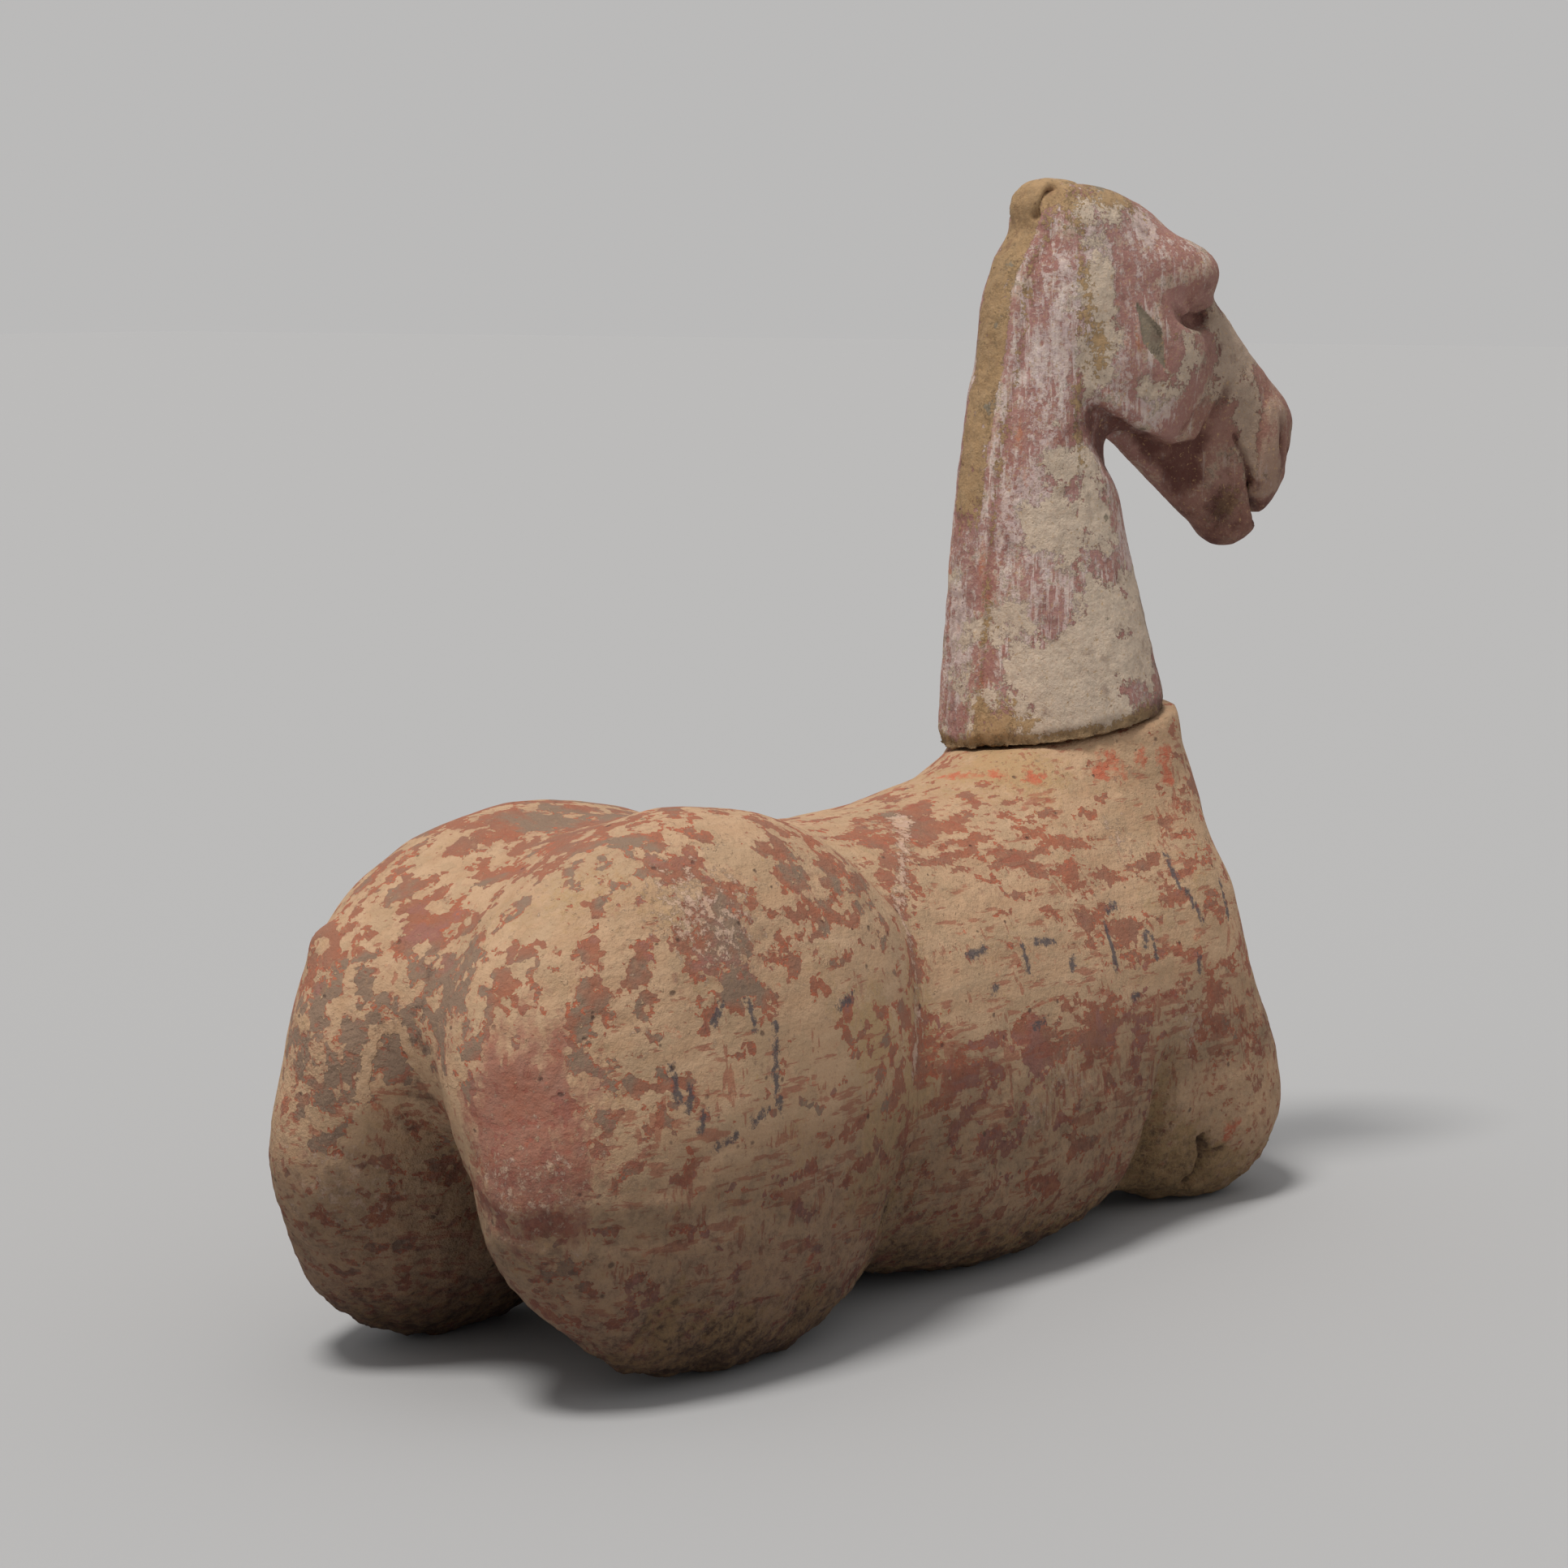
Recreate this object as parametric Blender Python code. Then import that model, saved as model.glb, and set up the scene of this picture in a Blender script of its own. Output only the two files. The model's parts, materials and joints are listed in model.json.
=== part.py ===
# A pottery horse in two fired-clay pieces: the body, with its legs lost, and the head and neck resting on it.
# Metres, +Z up. +X is the way the body faces and +Y its left. The pieces are shaped from a point on the floor
# midway between the hind stumps, and hang on an empty that centres the whole footprint on the origin.

import math

import bpy
from mathutils import Euler, Vector

# Driving dimensions
hipSpread = 0.091          # centre plane to the middle of a thigh
foreSpread = 0.085         # centre plane to the middle of a foreleg stump
seatCentre = Vector((0.530, 0.0, 0.3150))
seatSlope = 8.5            # degrees, the seat rises towards the chest
seatGap = 0.0003           # between the two pieces
seatSlab = 0.12            # thickness of the slab that cuts either side of the seat
seatReach = 0.26           # and its length, short of the rump
headTurn = -21.0           # degrees, the head looks to the horse's right

# The neck, at even steps from its base to its top, from the seat's centre
neckBase = -0.05
neckTop = 0.30
neckMiddles = [0.004, 0.001, -0.004, -0.010, -0.013, -0.006, 0.009]
neckDepths = [0.0850, 0.0795, 0.0700, 0.0600, 0.0508, 0.0440, 0.0400]
neckFlat = 0.86            # its width over its depth
maneHalf = 0.022           # half width of the raised band down the back of the neck
maneRise = 0.003

bodyVoxel = 0.005
headVoxel = 0.003
bodyTriangles = 5400
headTriangles = 4200


class Clay:
    """A distance field in Geometry Nodes: negative inside the clay, in metres."""

    def __init__(self, name):
        self.tree = bpy.data.node_groups.new(name, "GeometryNodeTree")
        self.tree.interface.new_socket("Geometry", in_out="OUTPUT", socket_type="NodeSocketGeometry")
        self.place = self.node("GeometryNodeInputPosition").outputs[0]

    def node(self, kind, **settings):
        made = self.tree.nodes.new(kind)
        for key, value in settings.items():
            setattr(made, key, value)
        return made

    def feed(self, socket, value):
        if isinstance(value, bpy.types.NodeSocket):
            self.tree.links.new(value, socket)
        else:
            socket.default_value = value

    def number(self, operation, first, second=0.0, third=0.0):
        made = self.node("ShaderNodeMath", operation=operation)
        for socket, value in zip(made.inputs, (first, second, third)):
            self.feed(socket, value)
        return made.outputs[0]

    def vector(self, operation, first, second=None, scale=None):
        made = self.node("ShaderNodeVectorMath", operation=operation)
        self.feed(made.inputs[0], first)
        if second is not None:
            self.feed(made.inputs[1], second)
        if scale is not None:
            self.feed(made.inputs["Scale"], scale)
        return made.outputs["Value" if operation in ("LENGTH", "DOT_PRODUCT") else "Vector"]

    def local(self, centre, tilt):
        """The place seen from a lump's own centre and tilt, in degrees about X, Y and Z."""
        shifted = self.vector("SUBTRACT", self.place, tuple(centre))
        if not any(tilt):
            return shifted
        turn = Euler([math.radians(angle) for angle in tilt]).to_matrix()
        parts = [self.vector("DOT_PRODUCT", shifted, tuple(turn.col[axis])) for axis in range(3)]
        joined = self.node("ShaderNodeCombineXYZ")
        for socket, value in zip(joined.inputs, parts):
            self.feed(socket, value)
        return joined.outputs[0]

    def lump(self, centre, radii, tilt=(0, 0, 0)):
        """An ellipsoid."""
        place = self.local(centre, tilt)
        near = self.vector("LENGTH", self.vector("DIVIDE", place, tuple(radii)))
        steep = self.vector("LENGTH", self.vector("DIVIDE", place, tuple(r * r for r in radii)))
        return self.number("DIVIDE", self.number("MULTIPLY", near, self.number("SUBTRACT", near, 1.0)), steep)

    def roll(self, start, end, startRadius, endRadius, flat=1.0):
        """A tapering roll with round ends; flat squeezes it across Y about its own axis."""
        start, end = Vector(start), Vector(end)
        squeeze = (1.0, 1.0 / flat, 1.0)
        from_start = self.vector("SUBTRACT", self.place, tuple(start))
        axis = end - start
        along = self.vector("DOT_PRODUCT", from_start, tuple(axis / axis.length_squared))
        along = self.number("MINIMUM", self.number("MAXIMUM", along, 0.0), 1.0)
        off = self.vector("SUBTRACT", from_start, self.vector("SCALE", tuple(axis), scale=along))
        off = self.vector("MULTIPLY", off, squeeze)
        radius = self.number("MULTIPLY_ADD", along, endRadius - startRadius, startRadius)
        return self.number("SUBTRACT", self.vector("LENGTH", off), radius)

    def curve(self, along, values):
        """A smooth run through evenly spaced values, read at along, from 0 to 1."""
        low, high = min(values), max(values)
        made = self.node("ShaderNodeFloatCurve")
        made.mapping.use_clip = False
        points = made.mapping.curves[0].points
        while len(points) < len(values):
            points.new(0.5, 0.5)
        for index, value in enumerate(values):
            points[index].location = (index / (len(values) - 1), (value - low) / (high - low))
        made.mapping.update()
        self.feed(made.inputs["Value"], along)
        return self.number("MULTIPLY_ADD", made.outputs[0], high - low, low)

    def column(self, bottom, top, middles, radii, flat):
        """An upright oval column that leans and tapers as it rises."""
        parts = self.node("ShaderNodeSeparateXYZ")
        self.feed(parts.inputs[0], self.place)
        along = self.number("MULTIPLY_ADD", parts.outputs["Z"], 1 / (top - bottom), bottom / (bottom - top))
        along = self.number("MINIMUM", self.number("MAXIMUM", along, 0.0), 1.0)
        off = self.node("ShaderNodeCombineXYZ")
        self.feed(off.inputs["X"], self.number("SUBTRACT", parts.outputs["X"], self.curve(along, middles)))
        self.feed(off.inputs["Y"], self.number("DIVIDE", parts.outputs["Y"], flat))
        side = self.number("SUBTRACT", self.vector("LENGTH", off.outputs[0]), self.curve(along, radii))
        return self.meet(side, self.halfSpace((0, 0, top), (0, 0, 1)), 0.01)

    def halfSpace(self, point, normal):
        """Clay behind a plane."""
        normal = Vector(normal).normalized()
        height = self.vector("DOT_PRODUCT", self.place, tuple(normal))
        return self.number("SUBTRACT", height, normal.dot(point))

    def join(self, first, second, blend):
        return self.number("SMOOTH_MIN", first, second, blend)

    def carve(self, clay, tool, blend):
        return self.number("SMOOTH_MAX", clay, self.number("MULTIPLY", tool, -1.0), blend)

    def meet(self, first, second, blend):
        return self.number("SMOOTH_MAX", first, second, blend)

    def finish(self, clay, low, high, voxel):
        """Turns the field into a mesh within the box from low to high."""
        cube = self.node("GeometryNodeVolumeCube")
        self.feed(cube.inputs["Density"], self.number("MULTIPLY", clay, -1.0))
        cube.inputs["Background"].default_value = -1.0
        cube.inputs["Min"].default_value = low
        cube.inputs["Max"].default_value = high
        for axis in range(3):
            steps = round((high[axis] - low[axis]) / voxel)
            cube.inputs["Resolution " + "XYZ"[axis]].default_value = steps
        skin = self.node("GeometryNodeVolumeToMesh")
        skin.inputs["Threshold"].default_value = 0.0
        self.feed(skin.inputs["Volume"], cube.outputs[0])
        self.feed(self.node("NodeGroupOutput").inputs[0], skin.outputs[0])
        return self.tree


def paint(name, colour, roughness):
    made = bpy.data.materials.new(name)
    made.use_nodes = True
    shader = made.node_tree.nodes["Principled BSDF"]
    shader.inputs["Base Color"].default_value = (*colour, 1)
    shader.inputs["Roughness"].default_value = roughness
    shader.inputs["Metallic"].default_value = 0.0
    return made


def cutter(name, centre, size, tilt=(0, 0, 0)):
    """A box that a Boolean takes away."""
    bpy.ops.mesh.primitive_cube_add(size=1.0)
    box = bpy.context.object
    box.name = name
    box.scale = size
    bpy.ops.object.transform_apply(location=False, rotation=False, scale=True)
    box.location = centre
    box.rotation_euler = [math.radians(angle) for angle in tilt]
    box.hide_render = True
    box.display_type = "WIRE"
    return box


def seatCutter(name, up):
    """A slab with one face on the seat, which slopes along the head's line; up is 1 above it, -1 below."""
    slope = Euler((0, -math.radians(seatSlope), math.radians(headTurn))).to_matrix()
    middle = seatCentre + slope @ Vector((0, 0, up * seatSlab / 2))
    box = cutter(name, middle, (seatReach, seatReach, seatSlab))
    box.rotation_euler = slope.to_euler()
    return box


def sculpt(name, tree, triangles, material, cutters):
    """An object skinned from a field, thinned to its triangle budget and cut flat where it bears."""
    mesh = bpy.data.meshes.new(name)
    piece = bpy.data.objects.new(name, mesh)
    bpy.context.collection.objects.link(piece)
    piece.modifiers.new("clay", "NODES").node_group = tree
    graph = bpy.context.evaluated_depsgraph_get()
    rough = piece.evaluated_get(graph).to_mesh()
    full = sum(len(polygon.vertices) - 2 for polygon in rough.polygons)
    piece.evaluated_get(graph).to_mesh_clear()
    thin = piece.modifiers.new("thin", "DECIMATE")
    thin.ratio = triangles / full
    thin.use_collapse_triangulate = True
    for tool in cutters:
        cut = piece.modifiers.new(tool.name, "BOOLEAN")
        cut.object = tool
        cut.solver = "EXACT"
    mesh.materials.append(material)
    return piece


def boundsOf(pieces):
    """The lowest and highest corners of these objects, as the viewport evaluates them."""
    bpy.context.view_layer.update()
    graph = bpy.context.evaluated_depsgraph_get()
    corners = []
    for piece in pieces:
        shown = piece.evaluated_get(graph)
        mesh = shown.to_mesh()
        corners += [shown.matrix_world @ vertex.co for vertex in mesh.vertices]
        shown.to_mesh_clear()
    return [min(axis) for axis in zip(*corners)], [max(axis) for axis in zip(*corners)]


def bodyField():
    clay = Clay("body clay")
    barrel = clay.roll((0.10, 0, 0.203), (0.38, 0, 0.193), 0.084, 0.084, 1.05)
    for side in (-1, 1):
        rib = clay.roll((0.22, side * 0.042, 0.135), (0.49, side * 0.042, 0.135), 0.124, 0.120, 0.70)
        belly = clay.lump((0.345, side * 0.072, 0.083), (0.180, 0.062, 0.085))
        barrel = clay.join(barrel, clay.join(rib, belly, 0.04), 0.05)
    withers = clay.roll((0.33, 0, 0.183), (0.47, 0, 0.226), 0.080, 0.080)
    keel = clay.roll((0.16, 0, 0.093), (0.50, 0, 0.093), 0.088, 0.086)
    barrel = clay.join(clay.join(barrel, withers, 0.05), keel, 0.03)
    neck = clay.roll((0.555, 0, 0.130), (0.5520, 0, 0.33), 0.108, 0.076, 0.92)
    breast = clay.roll((0.590, 0, 0.114), (0.565, 0, 0.240), 0.101, 0.080)
    front = clay.join(neck, breast, 0.03)
    for side in (-1, 1):
        stump = clay.lump((0.570, side * foreSpread, 0.068), (0.088, 0.047, 0.073))
        shoulder = clay.roll((0.560, side * 0.060, 0.190), (0.588, side * 0.078, 0.060), 0.055, 0.055, 0.95)
        front = clay.join(front, clay.join(stump, shoulder, 0.03), 0.05)
    armpit = clay.roll((0.72, 0, 0.008), (0.58, 0, 0.0), 0.030, 0.026)
    body = clay.join(barrel, clay.carve(front, armpit, 0.03), 0.06)
    for side in (-1, 1):
        crease = clay.roll((0.478, side * 0.142, 0.130), (0.452, side * 0.115, -0.01), 0.004, 0.014)
        body = clay.carve(body, crease, 0.02)
    rump = clay.lump((0.060, 0, 0.205), (0.172, 0.110, 0.096))
    for side in (-1, 1):
        buttock = clay.lump((0.050, side * 0.055, 0.1875 - side * 0.002), (0.184, 0.088 - side * 0.001, 0.124))
        flank = clay.lump((0.105, side * 0.078, 0.170), (0.112, 0.060, 0.105))
        thigh = clay.lump((0.045, side * 0.076, 0.125), (0.182, 0.070, 0.110))
        foot = clay.lump((0.033 - side * 0.013, side * hipSpread, 0.070), (0.131 - side * 0.011, 0.052, 0.075))
        haunch = clay.join(clay.join(buttock, flank, 0.04), clay.join(thigh, foot, 0.03), 0.03)
        rump = clay.join(rump, haunch, 0.025)
    cleft = clay.roll((-0.155, 0, 0.228), (-0.045, 0, -0.02), 0.006, 0.026, 0.85)
    cleft = clay.join(cleft, clay.roll((-0.13, 0, 0.16), (0.09, 0, -0.02), 0.008, 0.034, 0.85), 0.03)
    rump = clay.carve(rump, cleft, 0.025)
    body = clay.join(body, rump, 0.018)
    return clay.finish(body, (-0.2, -0.2, -0.05), (0.8, 0.2, 0.4), bodyVoxel)


def headField():
    clay = Clay("head clay")
    head = clay.column(neckBase, neckTop, neckMiddles, neckDepths, neckFlat)
    cranium = clay.lump((0.028, 0, 0.276), (0.074, 0.043, 0.079), (0, 35, 0))
    head = clay.join(head, cranium, 0.02)
    crown = clay.lump((0.014, 0, 0.329), (0.036, 0.034, 0.027))
    poll = clay.lump((-0.008, 0, 0.338), (0.021, 0.025, 0.020))
    head = clay.join(clay.join(head, crown, 0.02), poll, 0.008)
    behind = clay.halfSpace((-0.01, 0, 0), (1, 0, -0.05))
    band = clay.meet(clay.number("SUBTRACT", head, maneRise), behind, 0.002)
    for side in (-1, 1):
        band = clay.meet(band, clay.halfSpace((0, side * maneHalf, 0), (0, side, 0)), 0.002)
    head = clay.join(head, band, 0.002)
    face = clay.roll((0.075, 0, 0.264), (0.162, 0, 0.195), 0.052, 0.035, 0.70)
    head = clay.join(head, face, 0.02)
    jaw = clay.roll((0.065, 0, 0.222), (0.138, 0, 0.143), 0.036, 0.023, 0.85)
    head = clay.join(head, jaw, 0.02)
    muzzle = clay.lump((0.160, 0, 0.175), (0.036, 0.028, 0.048), (0, 20, 0))
    head = clay.join(head, muzzle, 0.015)
    chin = clay.lump((0.145, 0, 0.131), (0.018, 0.022, 0.016))
    head = clay.join(head, chin, 0.012)
    for side in (-1, 1):
        jowl = clay.lump((0.052, side * 0.030, 0.240), (0.053, 0.018, 0.053))
        brow = clay.lump((0.077, side * 0.021, 0.300), (0.043, 0.022, 0.023), (0, 4, -side * 6))
        head = clay.join(clay.join(head, jowl, 0.015), brow, 0.02)
        hollow = clay.lump((0.104, side * 0.042, 0.270), (0.024, 0.018, 0.011))
        nostril = clay.lump((0.194, side * 0.018, 0.178), (0.012, 0.008, 0.020))
        socket = clay.lump((-0.016, side * 0.028, 0.347), (0.006, 0.014, 0.014), (0, 25, 0))
        head = clay.carve(head, clay.join(clay.join(hollow, nostril, 0.001), socket, 0.001), 0.005)
    head = clay.meet(head, clay.halfSpace((0.190, 0, 0.165), (0.83, 0, -0.55)), 0.008)
    mouth = clay.lump((0.162, 0, 0.136), (0.004, 0.05, 0.032), (0, -35, 0))
    head = clay.carve(head, mouth, 0.004)
    return clay.finish(head, (-0.12, -0.1, -0.05), (0.25, 0.1, 0.38), headVoxel)


for old in list(bpy.data.objects):
    bpy.data.objects.remove(old)

slip = paint("painted buff clay", (0.42, 0.27, 0.18), 0.85)
mauve = paint("mauve painted clay", (0.38, 0.24, 0.20), 0.85)

floorCutter = cutter("floor cutter", (0.3, 0, -0.05), (1.2, 0.5, 0.1))
aboveSeat = seatCutter("above seat", 1)
belowSeat = seatCutter("below seat", -1)
belowSeat.location.z += seatGap

body = sculpt("horse_body", bodyField(), bodyTriangles, slip, [floorCutter, aboveSeat])
head = sculpt("head_and_neck", headField(), headTriangles, mauve, [belowSeat])
head.location = seatCentre
head.rotation_euler.z = math.radians(headTurn)

# All of it hangs on one empty, which puts the middle of the whole footprint on the origin.
stand = bpy.data.objects.new("stand", None)
bpy.context.collection.objects.link(stand)
for member in (body, head, floorCutter, aboveSeat, belowSeat):
    member.parent = stand
low, high = boundsOf([body, head])
stand.location = (-(low[0] + high[0]) / 2, -(low[1] + high[1]) / 2, 0)
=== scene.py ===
import json
import math

import bmesh
import bpy
import numpy as np
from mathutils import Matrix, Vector

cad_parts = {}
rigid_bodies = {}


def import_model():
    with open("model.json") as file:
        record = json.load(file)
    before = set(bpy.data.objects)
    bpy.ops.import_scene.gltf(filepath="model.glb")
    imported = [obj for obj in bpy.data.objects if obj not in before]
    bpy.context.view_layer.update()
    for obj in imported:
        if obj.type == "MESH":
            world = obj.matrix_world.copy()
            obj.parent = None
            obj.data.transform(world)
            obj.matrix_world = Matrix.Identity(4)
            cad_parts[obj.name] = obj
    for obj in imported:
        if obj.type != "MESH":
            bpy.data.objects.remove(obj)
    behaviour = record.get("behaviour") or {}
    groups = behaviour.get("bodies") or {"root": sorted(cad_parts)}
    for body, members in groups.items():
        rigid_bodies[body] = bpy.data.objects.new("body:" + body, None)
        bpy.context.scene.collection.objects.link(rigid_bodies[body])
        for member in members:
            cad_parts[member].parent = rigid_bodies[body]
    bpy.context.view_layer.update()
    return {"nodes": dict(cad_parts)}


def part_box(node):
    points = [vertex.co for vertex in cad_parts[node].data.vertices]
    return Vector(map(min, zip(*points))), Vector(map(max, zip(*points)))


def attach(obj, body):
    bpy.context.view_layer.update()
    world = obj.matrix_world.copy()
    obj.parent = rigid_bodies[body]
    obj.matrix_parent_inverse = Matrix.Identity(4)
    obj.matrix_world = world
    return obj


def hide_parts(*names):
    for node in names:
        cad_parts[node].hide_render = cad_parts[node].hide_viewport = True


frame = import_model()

# A low-fired pottery horse: slip and paint worn to islands on the body, chalky mauve on the neck and head

bodyLow, bodyHigh = (np.array(corner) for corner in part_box("horse_body"))
sceneObjects = bpy.context.scene.collection.objects


def settle(piece):  # what the modifiers make, kept as a plain mesh
    graph = bpy.context.evaluated_depsgraph_get()
    made = bpy.data.meshes.new_from_object(piece.evaluated_get(graph))
    piece.modifiers.clear()
    old, piece.data = piece.data, made
    bpy.data.meshes.remove(old)
    made.name = piece.name
    return piece


def softCopy(node, name, voxel, rounds):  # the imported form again, with its facets worked smooth
    mesh = frame["nodes"][node].data.copy()
    work = bmesh.new()
    work.from_mesh(mesh)
    bmesh.ops.remove_doubles(work, verts=work.verts, dist=1e-6)
    work.to_mesh(mesh)
    work.free()
    piece = bpy.data.objects.new(name, mesh)
    sceneObjects.link(piece)
    remesh = piece.modifiers.new("remesh", "REMESH")
    remesh.mode = "VOXEL"
    remesh.voxel_size = voxel
    smooth = piece.modifiers.new("smooth", "SMOOTH")
    smooth.factor = 0.5
    smooth.iterations = rounds
    settle(piece)
    piece.data.shade_smooth()
    return piece


def pointsOf(mesh):
    flat = np.empty(len(mesh.vertices) * 3, np.float32)
    mesh.vertices.foreach_get("co", flat)
    return flat.reshape(-1, 3).astype(float)


def keep(mesh, name, values):  # a number at each point, for the finish to read
    layer = mesh.attributes.new(name, "FLOAT", "POINT")
    layer.data.foreach_set("value", np.asarray(values, np.float32))


def spot(points, centre, size):  # 1 at the centre, fading over the size
    away = ((points - np.array(centre)) / np.array(size)) ** 2
    return np.exp(-1.4 * away.sum(axis=1))


def stroke(points, start, end, width):  # 1 along a line, down to 0 at its width
    start, run = np.array(start), np.array(end) - np.array(start)
    along = np.clip((points - start) @ run / (run @ run), 0, 1)
    away = np.linalg.norm(points - start - along[:, None] * run, axis=1)
    return np.clip(1 - away / width, 0, 1)


def path(points, places, width):
    return np.max([stroke(points, a, b, width) for a, b in zip(places, places[1:])], axis=0)


def rise(values, low, high):  # 0 below low, 1 above high
    share = np.clip((values - low) / (high - low), 0, 1)
    return share * share * (3 - 2 * share)


def weatheringTree():  # one tree for both pieces
    tree = bpy.data.node_groups.new("weathering", "GeometryNodeTree")
    sockets = tree.interface
    sockets.new_socket("Geometry", in_out="OUTPUT", socket_type="NodeSocketGeometry")
    sockets.new_socket("Geometry", in_out="INPUT", socket_type="NodeSocketGeometry")
    for label in (
        "Unevenness", "Lump Size", "Roughness", "Rough Size", "Erosion", "Pit Size", "Crumbs", "Crumb Size",
    ):
        sockets.new_socket(label, in_out="INPUT", socket_type="NodeSocketFloat")
    sockets.new_socket("Seed", in_out="INPUT", socket_type="NodeSocketInt")
    sockets.new_socket("Material", in_out="INPUT", socket_type="NodeSocketMaterial")

    def node(kind, **settings):
        made = tree.nodes.new(kind)
        for key, value in settings.items():
            setattr(made, key, value)
        return made

    def sum(operation, *values):
        made = node("ShaderNodeMath", operation=operation)
        for socket, value in zip(made.inputs, values):
            if isinstance(value, bpy.types.NodeSocket):
                tree.links.new(value, socket)
            else:
                socket.default_value = value
        return made.outputs[0]

    def attribute(name):
        made = node("GeometryNodeInputNamedAttribute", data_type="FLOAT")
        made.inputs["Name"].default_value = name
        return made.outputs["Attribute"]

    def swing(size, detail, depth):  # noise either side of nothing, to a depth
        made = node("ShaderNodeTexNoise", noise_dimensions="4D")
        tree.links.new(place, made.inputs["Vector"])
        tree.links.new(seed, made.inputs["W"])
        tree.links.new(sum("DIVIDE", 1.0, size), made.inputs["Scale"])
        made.inputs["Detail"].default_value = detail
        made.inputs["Roughness"].default_value = 0.6
        return sum("MULTIPLY", sum("SUBTRACT", made.outputs[0], 0.5), sum("MULTIPLY", depth, 4.0))

    given = node("NodeGroupInput").outputs
    place = node("GeometryNodeInputPosition").outputs[0]
    seed = given["Seed"]
    worn = attribute("worn")
    uneven = swing(given["Lump Size"], 1.0, given["Unevenness"])
    bites = swing(given["Pit Size"], 4.0, given["Erosion"])
    bitten = sum("MULTIPLY", worn, sum("SUBTRACT", bites, given["Erosion"]))  # inwards on the whole
    rough = sum("MULTIPLY", attribute("rough"), swing(given["Rough Size"], 5.0, given["Roughness"]))
    depth = sum("ADD", sum("ADD", uneven, rough), sum("ADD", bitten, attribute("lift")))
    along = node("ShaderNodeVectorMath", operation="SCALE")
    tree.links.new(node("GeometryNodeInputNormal").outputs[0], along.inputs[0])
    tree.links.new(depth, along.inputs["Scale"])
    moved = node("GeometryNodeSetPosition")
    tree.links.new(given["Geometry"], moved.inputs["Geometry"])
    tree.links.new(along.outputs[0], moved.inputs["Offset"])

    scatter = node("GeometryNodeDistributePointsOnFaces", distribute_method="RANDOM")
    tree.links.new(moved.outputs[0], scatter.inputs["Mesh"])
    tree.links.new(sum("MULTIPLY", given["Crumbs"], attribute("crumbs")), scatter.inputs["Density"])
    tree.links.new(seed, scatter.inputs["Seed"])
    crumb = node("GeometryNodeMeshIcoSphere")
    crumb.inputs["Subdivisions"].default_value = 1
    tree.links.new(given["Crumb Size"], crumb.inputs["Radius"])
    shape = node("FunctionNodeRandomValue", data_type="FLOAT_VECTOR")
    shape.inputs["Min"].default_value = (0.4, 0.4, 0.3)
    shape.inputs["Max"].default_value = (1.3, 1.0, 0.7)
    tree.links.new(seed, shape.inputs["Seed"])
    turn = node("FunctionNodeRandomValue", data_type="FLOAT_VECTOR")
    turn.inputs["Max"].default_value = (0.5, 0.5, math.tau)
    tree.links.new(seed, turn.inputs["Seed"])
    lean = node("FunctionNodeRotateRotation", rotation_space="LOCAL")
    tree.links.new(scatter.outputs["Rotation"], lean.inputs[0])
    tree.links.new(turn.outputs["Value"], lean.inputs[1])
    strew = node("GeometryNodeInstanceOnPoints")
    tree.links.new(scatter.outputs["Points"], strew.inputs["Points"])
    tree.links.new(crumb.outputs["Mesh"], strew.inputs["Instance"])
    tree.links.new(lean.outputs[0], strew.inputs["Rotation"])
    tree.links.new(shape.outputs["Value"], strew.inputs["Scale"])

    both = node("GeometryNodeJoinGeometry")
    tree.links.new(strew.outputs[0], both.inputs[0])
    tree.links.new(moved.outputs[0], both.inputs[0])
    real = node("GeometryNodeRealizeInstances")
    tree.links.new(both.outputs[0], real.inputs[0])
    coat = node("GeometryNodeSetMaterial")
    tree.links.new(real.outputs[0], coat.inputs["Geometry"])
    tree.links.new(given["Material"], coat.inputs["Material"])
    tree.links.new(coat.outputs[0], node("NodeGroupOutput").inputs[0])
    return tree


def weather(piece, tree, inputs):
    modifier = piece.modifiers.new("weathering", "NODES")
    modifier.node_group = tree
    for item in tree.interface.items_tree:
        if item.in_out == "INPUT" and item.name in inputs:
            modifier[item.identifier] = inputs[item.name]
    settle(piece)
    points = pointsOf(piece.data)
    points[:, 2] = np.maximum(points[:, 2], 0.0)  # nothing sinks below what the horse stands on
    piece.data.vertices.foreach_set("co", points.astype(np.float32).ravel())
    piece.data.shade_smooth()


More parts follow.
